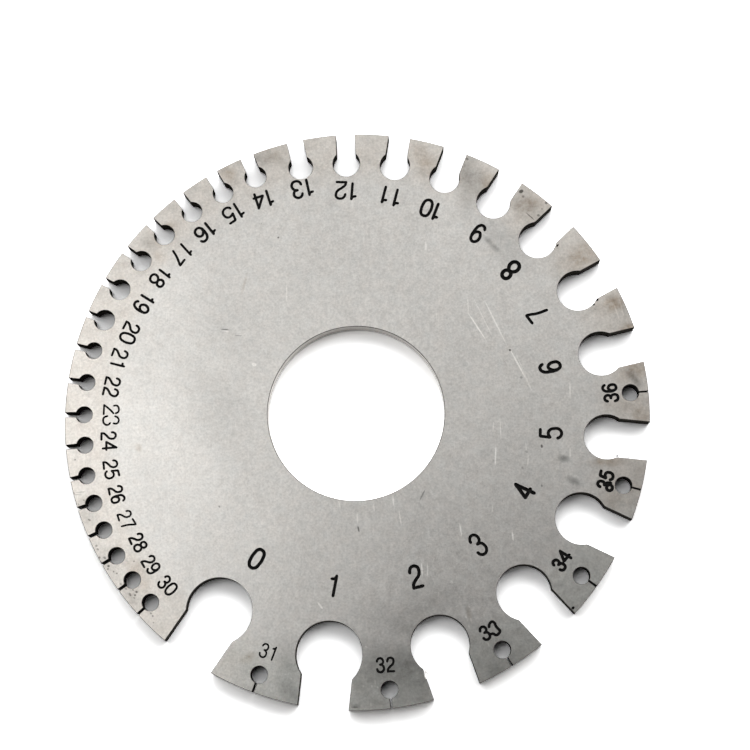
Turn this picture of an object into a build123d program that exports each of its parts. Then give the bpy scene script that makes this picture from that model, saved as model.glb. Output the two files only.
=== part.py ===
from build123d import *
from dataclasses import dataclass
from math import asin, degrees, sqrt
import os

# Sheet and wire gauge: one flat steel disc with a hand hole in the middle and a slot in the rim for each
# gauge number. A slot is a keyhole: a straight neck as wide as the metal that it tests, open at the rim,
# and a round relief hole behind the neck that the tested piece drops into and comes away through.
# The disc lies on its back on the plane z = 0 with its marked face up, centred on the Z axis.
# Lengths are in millimetres. Angles are in degrees, anticlockwise from +X, seen from above.

INCH = 25.4

# The disc blank, turned from plate and ground flat on both faces
disc_diameter = 84.0
disc_thickness = 3 / 32 * INCH
hand_hole_diameter = 1.0 * INCH
edge_break = 0.1

# The corners where a wide neck opens into its relief hole. The narrow slots are left sharp there.
corner_radius = 0.3

# The relief holes of the finest slots, which stand in the teeth between the widest ones
tooth_relief_diameter = 2.4
tooth_relief_inset = 2.6

disc_radius = disc_diameter / 2


@dataclass(frozen=True)
class Slot:
    """One slot of the gauge, as a row of the drawing's slot table."""

    number: int  # the gauge number
    neck_width: float  # between the neck's two parallel walls
    relief_diameter: float
    relief_inset: float  # from the rim in to the relief hole's centre
    angle: float  # of the slot's centre line

    @property
    def relief_reach(self) -> float:
        """From the disc's centre out to the relief hole's centre."""
        return disc_radius - self.relief_inset

    @property
    def neck_start(self) -> float:
        """From the relief hole's centre out to where the neck's walls begin."""
        return sqrt(self.relief_diameter**2 - self.neck_width**2) / 2

    @property
    def half_angle(self) -> float:
        """Half of the angle that the neck takes out of the rim."""
        return degrees(asin(self.neck_width / 2 / disc_radius))


# Numbers 0 to 30 run anticlockwise round the rim, from the widest neck to the narrowest of them, with angles
# that run on past 360. The neck widths are those of the standard gauge for sheet and plate iron and steel.
# Number, neck width, relief hole's diameter, relief hole's inset, angle
wide_slots = [
    Slot(0, 5 / 16 * INCH, 9.35, 7.9, 235.8),
    Slot(1, 9 / 32 * INCH, 9.35, 7.5, 263.85),
    Slot(2, 17 / 64 * INCH, 8.25, 7.0, 289.75),
    Slot(3, 1 / 4 * INCH, 7.8, 7.05, 312.6),
    Slot(4, 15 / 64 * INCH, 7.4, 6.6, 334.3),
    Slot(5, 7 / 32 * INCH, 6.45, 6.05, 354.1),
    Slot(6, 13 / 64 * INCH, 6.45, 5.75, 373.5),
    Slot(7, 3 / 16 * INCH, 5.95, 5.25, 389.0),
    Slot(8, 11 / 64 * INCH, 5.45, 5.25, 403.9),
    Slot(9, 5 / 32 * INCH, 4.95, 4.8, 417.25),
    Slot(10, 9 / 64 * INCH, 4.4, 4.65, 429.65),
    Slot(11, 1 / 8 * INCH, 4.4, 4.5, 441.3),
    Slot(12, 7 / 64 * INCH, 4.0, 4.5, 452.3),
    Slot(13, 3 / 32 * INCH, 3.6, 4.15, 462.6),
]
narrow_slots = [
    Slot(14, 5 / 64 * INCH, 3.2, 3.45, 472.8),
    Slot(15, 9 / 128 * INCH, 3.0, 3.45, 480.75),
    Slot(16, 1 / 16 * INCH, 3.0, 3.25, 488.75),
    Slot(17, 9 / 160 * INCH, 3.0, 3.1, 496.55),
    Slot(18, 1 / 20 * INCH, 3.0, 3.05, 504.15),
    Slot(19, 7 / 160 * INCH, 3.0, 2.8, 511.85),
    Slot(20, 3 / 80 * INCH, 3.0, 2.75, 519.2),
    Slot(21, 11 / 320 * INCH, 2.4, 2.75, 526.15),
    Slot(22, 1 / 32 * INCH, 2.4, 2.75, 533.15),
    Slot(23, 9 / 320 * INCH, 2.4, 2.8, 540.1),
    Slot(24, 1 / 40 * INCH, 2.4, 2.8, 546.6),
    Slot(25, 7 / 320 * INCH, 2.4, 2.45, 553.05),
    Slot(26, 3 / 160 * INCH, 2.4, 2.45, 559.05),
    Slot(27, 11 / 640 * INCH, 2.4, 2.45, 565.05),
    Slot(28, 1 / 64 * INCH, 2.4, 2.45, 571.05),
    Slot(29, 9 / 640 * INCH, 2.4, 2.45, 577.05),
    Slot(30, 1 / 80 * INCH, 2.4, 2.45, 583.05),
]

# Numbers 31 to 36 have the narrowest necks of all, one in each tooth between the seven widest slots
tooth_neck_widths = {
    31: 7 / 640 * INCH,
    32: 13 / 1280 * INCH,
    33: 3 / 320 * INCH,
    34: 11 / 1280 * INCH,
    35: 5 / 640 * INCH,
    36: 9 / 1280 * INCH,
}


def tooth_slots() -> list[Slot]:
    """The finest slots, each in the middle of its tooth's rim."""
    slots = []
    for (number, width), before, after in zip(tooth_neck_widths.items(), wide_slots, wide_slots[1:]):
        tooth_start = before.angle + before.half_angle
        tooth_end = after.angle - after.half_angle
        middle = (tooth_start + tooth_end) / 2
        slots.append(Slot(number, width, tooth_relief_diameter, tooth_relief_inset, middle))
    return slots


def sharp_keyhole(slot: Slot) -> Sketch:
    """The outline that one slot cuts out of the disc, its neck running out past the rim."""
    centre = Pos(slot.relief_reach, 0)
    neck_length = slot.relief_inset + slot.neck_width
    neck = Rectangle(neck_length, slot.neck_width, align=(Align.MIN, Align.CENTER))
    outline = centre * (Circle(slot.relief_diameter / 2) + neck)
    return Rot(0, 0, slot.angle) * outline


def rounded_keyhole(slot: Slot) -> Sketch:
    """The same outline with both corners rounded where the neck opens into the relief hole."""
    outline = sharp_keyhole(slot)
    relief_centre = Rot(0, 0, slot.angle) * Pos(slot.relief_reach, 0)
    corners = outline.vertices().sort_by_distance(relief_centre.position)[:2]
    overhang = (slot.relief_diameter - slot.neck_width) / 2
    return fillet(corners, min(corner_radius, overhang / 2))


def disc_blank() -> Part:
    """The disc with its hand hole, turned as one section with its four corners broken."""
    hole_radius = hand_hole_diameter / 2
    section = Rectangle(disc_radius - hole_radius, disc_thickness, align=(Align.MIN, Align.MIN))
    section = chamfer(section.vertices(), edge_break)
    return revolve(Plane.XZ * Pos(hole_radius, 0) * section, Axis.Z)


def gauge_plate() -> Part:
    """The whole gauge: the blank with every slot cut through it."""
    outlines = [rounded_keyhole(slot) for slot in wide_slots]
    outlines += [sharp_keyhole(slot) for slot in narrow_slots + tooth_slots()]
    plate = disc_blank() - extrude(Sketch() + outlines, disc_thickness)
    plate.label = "gauge_plate"
    return plate


os.makedirs("parts", exist_ok=True)
export_step(gauge_plate(), "parts/gauge_plate.step")
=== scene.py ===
"""Sheet and wire gauge: a flat stainless disc with a hand hole and 37 numbered keyhole slots.

The disc is built finer than its CAD model and stands in its place, with its numbers cut in and with its wear.
"""

import logging
import math
from dataclasses import dataclass, field
from enum import Enum

import bmesh
import bpy
from mathutils import Matrix, Vector


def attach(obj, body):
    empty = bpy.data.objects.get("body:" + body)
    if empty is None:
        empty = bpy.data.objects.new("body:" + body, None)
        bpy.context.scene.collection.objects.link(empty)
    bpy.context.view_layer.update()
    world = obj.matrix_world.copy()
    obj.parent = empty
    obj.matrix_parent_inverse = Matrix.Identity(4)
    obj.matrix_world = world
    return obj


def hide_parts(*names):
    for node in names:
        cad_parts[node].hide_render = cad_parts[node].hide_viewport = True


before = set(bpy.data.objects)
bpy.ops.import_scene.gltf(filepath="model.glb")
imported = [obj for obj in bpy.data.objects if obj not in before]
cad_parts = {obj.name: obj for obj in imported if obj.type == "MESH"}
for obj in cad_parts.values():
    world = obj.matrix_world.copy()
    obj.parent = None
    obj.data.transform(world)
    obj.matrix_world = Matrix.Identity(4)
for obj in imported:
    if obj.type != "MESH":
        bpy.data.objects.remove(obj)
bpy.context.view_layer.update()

log = logging.getLogger("wire_gauge")

Tree = bpy.types.NodeTree
Socket = bpy.types.NodeSocket
Mesh = bmesh.types.BMesh

# Sizes are in millimetres and angles in degrees, anticlockwise from +X seen from above, as in the part's source.
# A mesh is built in millimetres and brought to metres once it is finished.
MM = 0.001
INCH = 25.4
THICKNESS = 3 / 32 * INCH

# How often the faces of a small ball are divided: a stroke's round end, a chip or a burr
BALL_DIVISIONS = 2


class Dressing(Enum):
    """The finishes of the plate, in the order of its material slots."""

    FACE = 0
    # milled walls of the slots, coloured dark as painted shade
    WALL = 1
    # broken edges of the rim and the hand hole, coloured dark as painted shade along the edge
    EDGE = 2
    BLACKING = 3
    # torn bare steel, coloured near white as a painted glint
    BARE = 4
    TURNED = 5
    # near-black painted shade on the walls of the finest necks and round the tooth slots' relief holes
    CAKED = 6
    BORED = 7


class MarkKind(Enum):
    """What years of handling left on the face, and some painted shade."""

    SCRATCH = "bright line"
    # dark lines and specks; two dashes along the bottom rim are painted shade of its edge
    SCORE = "dark line or speck"
    # grey smears; the broad faint ones over the lower face and the left are painted shade
    SMUDGE = "grey smear"
    TARNISH = "brown stain"


class Grain(Enum):
    """The uneven patterns of the satin face: the size of each in millimetres, and how much finer grain is mixed in.

    The real grit is finer than the render shows, so it is drawn as coarse as it needs to show.
    """

    TINT = (1.5, 3.0)
    CLOUD = (11.0, 2.0)
    BLOTCH = (3.2, 3.0)
    MOTTLE = (1.1, 4.0)
    GRIT = (0.28, 2.0)
    GRIME = (2.3, 5.0)
    RAGGED = (0.9, 4.0)


def linear(hex_colour: str) -> tuple[float, float, float, float]:
    """Turns an sRGB colour into the linear one that a shader takes, by the curve of the sRGB standard.

    Args:
        hex_colour: the colour as "#RRGGBB".

    Returns:
        Red, green, blue and alpha, each 0 to 1.
    """
    parts = []
    for start in (1, 3, 5):
        value = int(hex_colour[start : start + 2], 16) / 255
        parts.append(value / 12.92 if value <= 0.04045 else ((value + 0.055) / 1.055) ** 2.4)
    return (*parts, 1.0)


def per_metre(size_mm: float) -> float:
    """The scale that gives a pattern features of this size on coordinates in metres.

    Args:
        size_mm: the feature's real size.

    Returns:
        Features to the metre.
    """
    return 1000 / size_mm


def add_node(tree: Tree, kind: str, settings: dict | None = None, links: dict | None = None) -> bpy.types.Node:
    """Adds one node with its settings and links.

    Args:
        tree: the node tree that it goes into.
        kind: the node's type, such as "ShaderNodeMath".
        settings: values for the node's own properties or, where no property has the name, for its inputs.
        links: the sockets that feed its inputs, each under the input's name or number.

    Returns:
        The new node.
    """
    node = tree.nodes.new(kind)
    for name, value in (settings or {}).items():
        if name == "stops":
            ramp = node.color_ramp.elements
            while len(ramp) < len(value):
                ramp.new(1.0)
            for stop, (place, colour) in zip(ramp, value):
                stop.position = place
                stop.color = colour
        elif isinstance(name, str) and hasattr(node, name):
            setattr(node, name, value)
        else:
            node.inputs[name].default_value = value
    for name, socket in (links or {}).items():
        tree.links.new(socket, node.inputs[name])
    return node


def add_object(name: str, mesh: Mesh, finishes: list[bpy.types.Material]) -> bpy.types.Object:
    """Makes an object of a finished mesh.

    Args:
        name: the object's name.
        mesh: its mesh, which is freed.
        finishes: its materials.

    Returns:
        The object, linked to the scene.
    """
    data = bpy.data.meshes.new(name)
    mesh.to_mesh(data)
    mesh.free()
    for finish in finishes:
        data.materials.append(finish)
    made = bpy.data.objects.new(name, data)
    bpy.context.scene.collection.objects.link(made)
    return made


@dataclass(frozen=True)
class Mark:
    """One mark on the face: its middle, how long and wide it is, which way it runs and how strong it is."""

    x: float
    y: float
    length: float
    width: float
    turn: float
    strength: float


@dataclass(frozen=True)
class Finish:
    """A material, filled in its own way by each kind of finish."""

    name: str

    def make(self) -> bpy.types.Material:
        """Builds the material.

        Returns:
            The material, its node tree filled.
        """
        material = bpy.data.materials.new(self.name)
        material.use_nodes = True
        tree = material.node_tree
        tree.nodes.clear()
        add_node(tree, "ShaderNodeOutputMaterial", None, {0: self.shader(tree).outputs[0]})
        return material

    def shader(self, tree: Tree) -> bpy.types.Node:
        """Adds the nodes of the surface.

        Args:
            tree: the material's nodes.

        Returns:
            The last of them, whose first output is the surface.
        """
        raise NotImplementedError


@dataclass(frozen=True)
class SatinStainless(Finish):
    """Stainless sheet, ground flat and then satin finished.

    The grit leaves a fine even mottle with no direction and a soft wide highlight, and handling leaves faint hair
    scratches. Towards the rim, where fingers turn it, it has a straw tint and darker grime. The marks are old
    scratches, grease and moisture stains, and painted shade: broad faint smears over the lower face and the left,
    and two dark dashes along the bottom rim.
    """

    name: str = "satin_ground_stainless"
    cool: str = "#C6C6C3"
    warm: str = "#CAC5BF"
    roughness: float = 0.30
    roughness_spread: float = 0.05
    grain_roughness: float = 0.6
    # how far each pattern moves the tone, or the bump's height, from the pattern's lowest to its highest
    tones: tuple[tuple[Grain, float], ...] = (
        (Grain.CLOUD, 0.16), (Grain.BLOTCH, 0.10), (Grain.MOTTLE, 0.27), (Grain.GRIT, 0.62)
    )
    heights: tuple[tuple[Grain, float], ...] = ((Grain.MOTTLE, 0.6), (Grain.GRIT, 1.0))
    bump_strength: float = 0.2
    bump_depth: float = 0.04
    # the hair scratches, drawn coarser than real so that they show: their width, that as a share of their length, the
    # noise at which a hair starts and is full, how much it brightens, and each direction with a shift of its own
    hair_mm: float = 0.16
    hair_stretch: float = 0.035
    hair_detail: float = 1.0
    hair_from: float = 0.70
    hair_full: float = 0.80
    hair_tone: float = 0.12
    hair_turns: tuple[tuple[float, float], ...] = ((12, 0.0), (58, 0.031), (88, 0.057), (149, 0.083))
    # the teeth, tinted and grimy where fingers hold them: near the rim, between these reaches, and all round but
    # opposite held_side, where the cosine of the angle to it is under these
    straw: str = "#FDFAF7"
    clean: str = "#F9FBFA"
    grime: str = "#A2968A"
    held_side: float = 110.0
    held_from: float = -0.80
    held_full: float = -0.58
    rim_from: float = 34.0
    rim_full: float = 37.5
    grime_from: float = 0.48
    grime_full: float = 0.72
    grime_most: float = 0.22
    # the marks: what a full one multiplies the steel by, and how much a bright one adds
    tarnish: str = "#B8A48C"
    # the grey of the smears and of the broad painted shade
    smudge: str = "#858686"
    # the dark of the scores and specks, and of the two painted-shade dashes on the bottom rim
    score: str = "#3C3A37"
    scratch_tone: float = 0.50
    # the share of a mark's half width in which it comes up to full strength: less in a line than in a smear
    line_fade: float = 0.45
    smear_fade: float = 1.0
    mark_depth: float = 0.5
    # how unevenly a stain covers, from its thinnest to its thickest places, and how much of that a smear has
    ragged_from: float = 0.3
    ragged_full: float = 0.7
    ragged_least: float = 0.4
    ragged_most: float = 1.6
    smudge_ragged: float = 0.4

    def shader(self, tree: Tree) -> bpy.types.Node:
        """Adds the nodes of the ground face.

        Args:
            tree: the material's nodes.

        Returns:
            The surface's shader.
        """
        place = add_node(tree, "ShaderNodeTexCoord").outputs["Object"]
        grain = {}
        for kind in Grain:
            size_mm, detail = kind.value
            settings = {"Scale": per_metre(size_mm), "Detail": detail, "Roughness": self.grain_roughness}
            grain[kind] = add_node(tree, "ShaderNodeTexNoise", settings, {"Vector": place}).outputs[0]
        settings = {"data_type": "RGBA", 6: linear(self.cool), 7: linear(self.warm)}
        colour = add_node(tree, "ShaderNodeMix", settings, {0: grain[Grain.TINT]}).outputs[2]
        tone = self.blend(tree, grain, self.tones)
        hairs = self.hair_scratches(tree, place)
        scratches = self.cover(tree, place, MarkKind.SCRATCH)
        for bright, share in ((hairs, self.hair_tone), (scratches, self.scratch_tone)):
            settings = {"operation": "MULTIPLY_ADD", 1: share}
            tone = add_node(tree, "ShaderNodeMath", settings, {0: bright, 2: tone}).outputs[0]
        links = {0: colour, "Scale": tone}
        colour = add_node(tree, "ShaderNodeVectorMath", {"operation": "SCALE"}, links).outputs[0]
        near_rim, held = self.handling(tree, place)
        settings = {"data_type": "RGBA", 6: linear(self.clean), 7: linear(self.straw)}
        tint = add_node(tree, "ShaderNodeMix", settings, {0: held}).outputs[2]
        settings = {"data_type": "RGBA", "blend_type": "MULTIPLY"}
        colour = add_node(tree, "ShaderNodeMix", settings, {0: near_rim, 6: colour, 7: tint}).outputs[2]
        settings = {"From Min": self.grime_from, "From Max": self.grime_full, "To Max": self.grime_most}
        patches = add_node(tree, "ShaderNodeMapRange", settings, {"Value": grain[Grain.GRIME]}).outputs[0]
        for part in (near_rim, held):
            patches = add_node(tree, "ShaderNodeMath", {"operation": "MULTIPLY"}, {0: patches, 1: part}).outputs[0]
        for dirt, cover in [(self.grime, patches)] + self.stains(tree, place, grain[Grain.RAGGED]):
            settings = {"data_type": "RGBA", "blend_type": "MULTIPLY", 7: linear(dirt)}
            colour = add_node(tree, "ShaderNodeMix", settings, {0: cover, 6: colour}).outputs[2]
        settings = {"To Min": self.roughness - self.roughness_spread, "To Max": self.roughness + self.roughness_spread}
        rough = add_node(tree, "ShaderNodeMapRange", settings, {"Value": grain[Grain.MOTTLE]}).outputs[0]
        settings = {"Strength": self.bump_strength, "Distance": self.bump_depth * MM}
        links = {"Height": self.blend(tree, grain, self.heights)}
        bump = add_node(tree, "ShaderNodeBump", settings, links).outputs[0]
        links = {"Base Color": colour, "Roughness": rough, "Normal": bump}
        return add_node(tree, "ShaderNodeBsdfPrincipled", {"Metallic": 1.0}, links)

    def blend(self, tree: Tree, grain: dict[Grain, Socket], shares: tuple[tuple[Grain, float], ...]) -> Socket:
        """Adds patterns up around 1.

        Args:
            tree: the material's nodes.
            grain: the patterns, each 0 to 1.
            shares: how far each that is used moves the sum, from its lowest to its highest.

        Returns:
            The sum.
        """
        start = 1 - sum(share for _, share in shares) / 2
        value = None
        for kind, share in shares:
            links = {0: grain[kind]} if value is None else {0: grain[kind], 2: value}
            settings = {"operation": "MULTIPLY_ADD", 1: share, 2: start}
            value = add_node(tree, "ShaderNodeMath", settings, links).outputs[0]
        return value

    def hair_scratches(self, tree: Tree, place: Socket) -> Socket:
        """Fine short scratches that run in a few directions.

        Args:
            tree: the material's nodes.
            place: the coordinates that they follow.

        Returns:
            How strongly a point is scratched, 0 to 1.
        """
        value = None
        for turn, shift in self.hair_turns:
            settings = {
                "Location": (shift, shift * 2, 0.0),
                "Rotation": (0.0, 0.0, math.radians(turn)),
                "Scale": (1.0, self.hair_stretch, 1.0),
            }
            turned = add_node(tree, "ShaderNodeMapping", settings, {"Vector": place}).outputs[0]
            settings = {
                "Scale": per_metre(self.hair_mm),
                "Detail": self.hair_detail,
                "Roughness": self.grain_roughness,
            }
            strands = add_node(tree, "ShaderNodeTexNoise", settings, {"Vector": turned}).outputs[0]
            settings = {"From Min": self.hair_from, "From Max": self.hair_full}
            hairs = add_node(tree, "ShaderNodeMapRange", settings, {"Value": strands}).outputs[0]
            if value is not None:
                hairs = add_node(tree, "ShaderNodeMath", {"operation": "MAXIMUM"}, {0: value, 1: hairs}).outputs[0]
            value = hairs
        return value

    def cover(self, tree: Tree, place: Socket, kind: MarkKind) -> Socket:
        """How far the marks of one kind cover each point.

        Each mark is strongest along its middle and fades to nothing at its edge.

        Args:
            tree: the material's nodes.
            place: the coordinates that they follow.
            kind: the kind.

        Returns:
            The cover, 0 to 1.
        """
        fade = self.line_fade if kind in (MarkKind.SCRATCH, MarkKind.SCORE) else self.smear_fade
        value = None
        for row in MARKS[kind]:
            mark = Mark(*row)
            settings = {
                "vector_type": "TEXTURE",
                "Location": (mark.x * MM, mark.y * MM, THICKNESS * MM),
                "Rotation": (0.0, 0.0, math.radians(mark.turn)),
                "Scale": (mark.length / 2 * MM, mark.width / 2 * MM, self.mark_depth * MM),
            }
            links = {"Vector": add_node(tree, "ShaderNodeMapping", settings, {"Vector": place}).outputs[0]}
            blob = add_node(tree, "ShaderNodeTexGradient", {"gradient_type": "SPHERICAL"}, links).outputs["Fac"]
            settings = {"From Max": fade, "To Max": mark.strength, "interpolation_type": "SMOOTHSTEP"}
            blob = add_node(tree, "ShaderNodeMapRange", settings, {"Value": blob}).outputs[0]
            if value is not None:
                blob = add_node(tree, "ShaderNodeMath", {"operation": "MAXIMUM"}, {0: value, 1: blob}).outputs[0]
            value = blob
        return value

    def stains(self, tree: Tree, place: Socket, uneven: Socket) -> list[tuple[str, Socket]]:
        """The marks that darken the steel, in the order that they lie over each other.

        Args:
            tree: the material's nodes.
            place: the coordinates that they follow.
            uneven: the pattern that makes stains and smears cover unevenly.

        Returns:
            The colour of each kind of mark, and its cover.
        """
        settings = {
            "From Min": self.ragged_from,
            "From Max": self.ragged_full,
            "To Min": self.ragged_least,
            "To Max": self.ragged_most,
        }
        ragged = add_node(tree, "ShaderNodeMapRange", settings, {"Value": uneven}).outputs[0]
        settings = {"operation": "MULTIPLY_ADD", 1: self.smudge_ragged, 2: 1 - self.smudge_ragged}
        cloudy = add_node(tree, "ShaderNodeMath", settings, {0: ragged}).outputs[0]
        found = []
        for kind, colour, factor in (
            (MarkKind.TARNISH, self.tarnish, ragged),
            (MarkKind.SMUDGE, self.smudge, cloudy),
            (MarkKind.SCORE, self.score, None),
        ):
            cover = self.cover(tree, place, kind)
            if factor is not None:
                settings = {"operation": "MULTIPLY", "use_clamp": True}
                cover = add_node(tree, "ShaderNodeMath", settings, {0: cover, 1: factor}).outputs[0]
            found.append((colour, cover))
        return found

    def handling(self, tree: Tree, place: Socket) -> tuple[Socket, Socket]:
        """Where fingers hold and turn the gauge. The teeth between the widest slots are handled least.

        Args:
            tree: the material's nodes.
            place: the coordinates that it follows.

        Returns:
            How near a point is to the rim, and how much its side of the gauge is held, each 0 to 1.
        """
        flat = add_node(tree, "ShaderNodeVectorMath", {"operation": "MULTIPLY", 1: (1, 1, 0)}, {0: place}).outputs[0]
        out = add_node(tree, "ShaderNodeVectorMath", {"operation": "LENGTH"}, {0: flat}).outputs["Value"]
        way = add_node(tree, "ShaderNodeVectorMath", {"operation": "NORMALIZE"}, {0: flat}).outputs[0]
        turn = math.radians(self.held_side)
        settings = {"operation": "DOT_PRODUCT", 1: (math.cos(turn), math.sin(turn), 0)}
        towards = add_node(tree, "ShaderNodeVectorMath", settings, {0: way}).outputs["Value"]
        settings = {"From Min": self.rim_from * MM, "From Max": self.rim_full * MM}
        near_rim = add_node(tree, "ShaderNodeMapRange", settings, {"Value": out}).outputs[0]
        settings = {"From Min": self.held_from, "From Max": self.held_full}
        held = add_node(tree, "ShaderNodeMapRange", settings, {"Value": towards}).outputs[0]
        return near_rim, held


@dataclass(frozen=True)
class CutStainless(Finish):
    """The same steel where a cutter went through it, with fine lines along the cut; by default much darker, as painted
    shade.
    """

    name: str = "milled_stainless_painted_shade"
    # far darker than the face: painted shade on the walls inside the slots
    colour: str = "#454340"
    roughness: float = 0.50
    line_mm: float = 0.12
    glancing: str = "#454340"
    # the tool's lines are drawn wider than real so that they show: their width as a share of their length up the wall,
    # the finer noise in them, and how they darken and brighten the steel
    line_stretch: float = 0.06
    line_detail: float = 2.0
    line_dark: float = 0.82
    line_bright: float = 1.12
    bump_strength: float = 0.25
    bump_depth: float = 0.03

    def shader(self, tree: Tree) -> bpy.types.Node:
        """Adds the nodes of the cut wall.

        Args:
            tree: the material's nodes.

        Returns:
            The surface's shader.
        """
        place = add_node(tree, "ShaderNodeTexCoord").outputs["Object"]
        settings = {"Scale": (1.0, 1.0, self.line_stretch)}
        along = add_node(tree, "ShaderNodeMapping", settings, {"Vector": place}).outputs[0]
        settings = {"Scale": per_metre(self.line_mm), "Detail": self.line_detail}
        lines = add_node(tree, "ShaderNodeTexNoise", settings, {"Vector": along}).outputs[0]
        settings = {"To Min": self.line_dark, "To Max": self.line_bright}
        shade = add_node(tree, "ShaderNodeMapRange", settings, {"Value": lines}).outputs[0]
        settings = {"operation": "SCALE", 0: linear(self.colour)[:3]}
        colour = add_node(tree, "ShaderNodeVectorMath", settings, {"Scale": shade}).outputs[0]
        settings = {"Strength": self.bump_strength, "Distance": self.bump_depth * MM}
        bump = add_node(tree, "ShaderNodeBump", settings, {"Height": lines}).outputs[0]
        settings = {"Metallic": 1.0, "Roughness": self.roughness, "Specular Tint": linear(self.glancing)}
        return add_node(tree, "ShaderNodeBsdfPrincipled", settings, {"Base Color": colour, "Normal": bump})


@dataclass(frozen=True)
class MattBlack(Finish):
    """Black filler rubbed into the cut numbers, and painted shade in the finest slots: matt and a little uneven."""

    name: str = "black_number_filler"
    colour: str = "#0A0A0A"
    worn: str = "#1B1A18"
    roughness: float = 0.85
    shine: float = 0.12
    grain_mm: float = 0.35
    grain_detail: float = 3.0
    # the parts of the grain's range at which the colour starts to turn, and has turned, to the worn one
    worn_from: float = 0.45
    worn_full: float = 0.8
    bump_strength: float = 0.3
    bump_depth: float = 0.03

    def shader(self, tree: Tree) -> bpy.types.Node:
        """Adds the nodes of the filler.

        Args:
            tree: the material's nodes.

        Returns:
            The surface's shader.
        """
        place = add_node(tree, "ShaderNodeTexCoord").outputs["Object"]
        settings = {"Scale": per_metre(self.grain_mm), "Detail": self.grain_detail}
        grain = add_node(tree, "ShaderNodeTexNoise", settings, {"Vector": place}).outputs[0]
        stops = ((self.worn_from, linear(self.colour)), (self.worn_full, linear(self.worn)))
        colour = add_node(tree, "ShaderNodeValToRGB", {"stops": stops}, {0: grain}).outputs[0]
        settings = {"Strength": self.bump_strength, "Distance": self.bump_depth * MM}
        bump = add_node(tree, "ShaderNodeBump", settings, {"Height": grain}).outputs[0]
        settings = {"Roughness": self.roughness, "Specular IOR Level": self.shine}
        return add_node(tree, "ShaderNodeBsdfPrincipled", settings, {"Base Color": colour, "Normal": bump})


@dataclass(frozen=True)
class PaleFloor(Finish):
    """Matt white card under the gauge.

    To the eye, and in the steel, it is a little brighter than the light alone makes it, as a white card is in a
    photograph. It takes the gauge's shadow in full.
    """

    name: str = "matt_white_card"
    colour: str = "#F9F9F9"
    lift: str = "#FFFFFF"

    def shader(self, tree: Tree) -> bpy.types.Node:
        """Adds the nodes of the card.

        Args:
            tree: the material's nodes.

        Returns:
            The surface's shader.
        """
        card = add_node(tree, "ShaderNodeBsdfDiffuse", {"Color": linear(self.colour)})
        rays = add_node(tree, "ShaderNodeLightPath").outputs
        seen = rays["Is Camera Ray"]
        for mirrored in ("Is Glossy Ray", "Is Transmission Ray"):
            links = {0: seen, 1: rays[mirrored]}
            seen = add_node(tree, "ShaderNodeMath", {"operation": "MAXIMUM"}, links).outputs[0]
        settings = {"operation": "SCALE", 0: linear(self.lift)[:3]}
        brighter = add_node(tree, "ShaderNodeVectorMath", settings, {"Scale": seen}).outputs[0]
        lift = add_node(tree, "ShaderNodeBsdfDiffuse", None, {"Color": brighter})
        return add_node(tree, "ShaderNodeAddShader", None, {0: card.outputs[0], 1: lift.outputs[0]})


@dataclass(frozen=True)
class Slot:
    """One keyhole slot, as a row of the gauge's slot table."""

    number: int
    neck_width: float
    relief_diameter: float
    relief_inset: float
    angle: float


@dataclass(frozen=True)
class Digit:
    """One digit of a number: its middle, width scale, height and slant, seen with its top to the gauge's centre."""

    x: float
    y: float
    width: float
    height: float
    slant: float = 0.0


@dataclass(frozen=True)
class Numeral:
    """One number cut into the face: where its middle is, the width of its strokes, and its digits."""

    number: int
    reach: float
    angle: float
    stroke: float
    digits: tuple[Digit, ...]


# Numbers 0 to 13 have rounded corners where the neck opens into the relief hole.
# Number, neck width, relief hole's diameter, relief hole's inset, angle
WIDE_SLOTS = (
    Slot(0, 5 / 16 * INCH, 9.35, 7.9, 235.8),
    Slot(1, 9 / 32 * INCH, 9.35, 7.5, 263.85),
    Slot(2, 17 / 64 * INCH, 8.25, 7.0, 289.75),
    Slot(3, 1 / 4 * INCH, 7.8, 7.05, 312.6),
    Slot(4, 15 / 64 * INCH, 7.4, 6.6, 334.3),
    Slot(5, 7 / 32 * INCH, 6.45, 6.05, 354.1),
    Slot(6, 13 / 64 * INCH, 6.45, 5.75, 373.5),
    Slot(7, 3 / 16 * INCH, 5.95, 5.25, 389.0),
    Slot(8, 11 / 64 * INCH, 5.45, 5.25, 403.9),
    Slot(9, 5 / 32 * INCH, 4.95, 4.8, 417.25),
    Slot(10, 9 / 64 * INCH, 4.4, 4.65, 429.65),
    Slot(11, 1 / 8 * INCH, 4.4, 4.5, 441.3),
    Slot(12, 7 / 64 * INCH, 4.0, 4.5, 452.3),
    Slot(13, 3 / 32 * INCH, 3.6, 4.15, 462.6),
)
NARROW_SLOTS = (
    Slot(14, 5 / 64 * INCH, 3.2, 3.45, 472.8),
    Slot(15, 9 / 128 * INCH, 3.0, 3.45, 480.75),
    Slot(16, 1 / 16 * INCH, 3.0, 3.25, 488.75),
    Slot(17, 9 / 160 * INCH, 3.0, 3.1, 496.55),
    Slot(18, 1 / 20 * INCH, 3.0, 3.05, 504.15),
    Slot(19, 7 / 160 * INCH, 3.0, 2.8, 511.85),
    Slot(20, 3 / 80 * INCH, 3.0, 2.75, 519.2),
    Slot(21, 11 / 320 * INCH, 2.4, 2.75, 526.15),
    Slot(22, 1 / 32 * INCH, 2.4, 2.75, 533.15),
    Slot(23, 9 / 320 * INCH, 2.4, 2.8, 540.1),
    Slot(24, 1 / 40 * INCH, 2.4, 2.8, 546.6),
    Slot(25, 7 / 320 * INCH, 2.4, 2.45, 553.05),
    Slot(26, 3 / 160 * INCH, 2.4, 2.45, 559.05),
    Slot(27, 11 / 640 * INCH, 2.4, 2.45, 565.05),
    Slot(28, 1 / 64 * INCH, 2.4, 2.45, 571.05),
    Slot(29, 9 / 640 * INCH, 2.4, 2.45, 577.05),
    Slot(30, 1 / 80 * INCH, 2.4, 2.45, 583.05),
)
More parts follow.
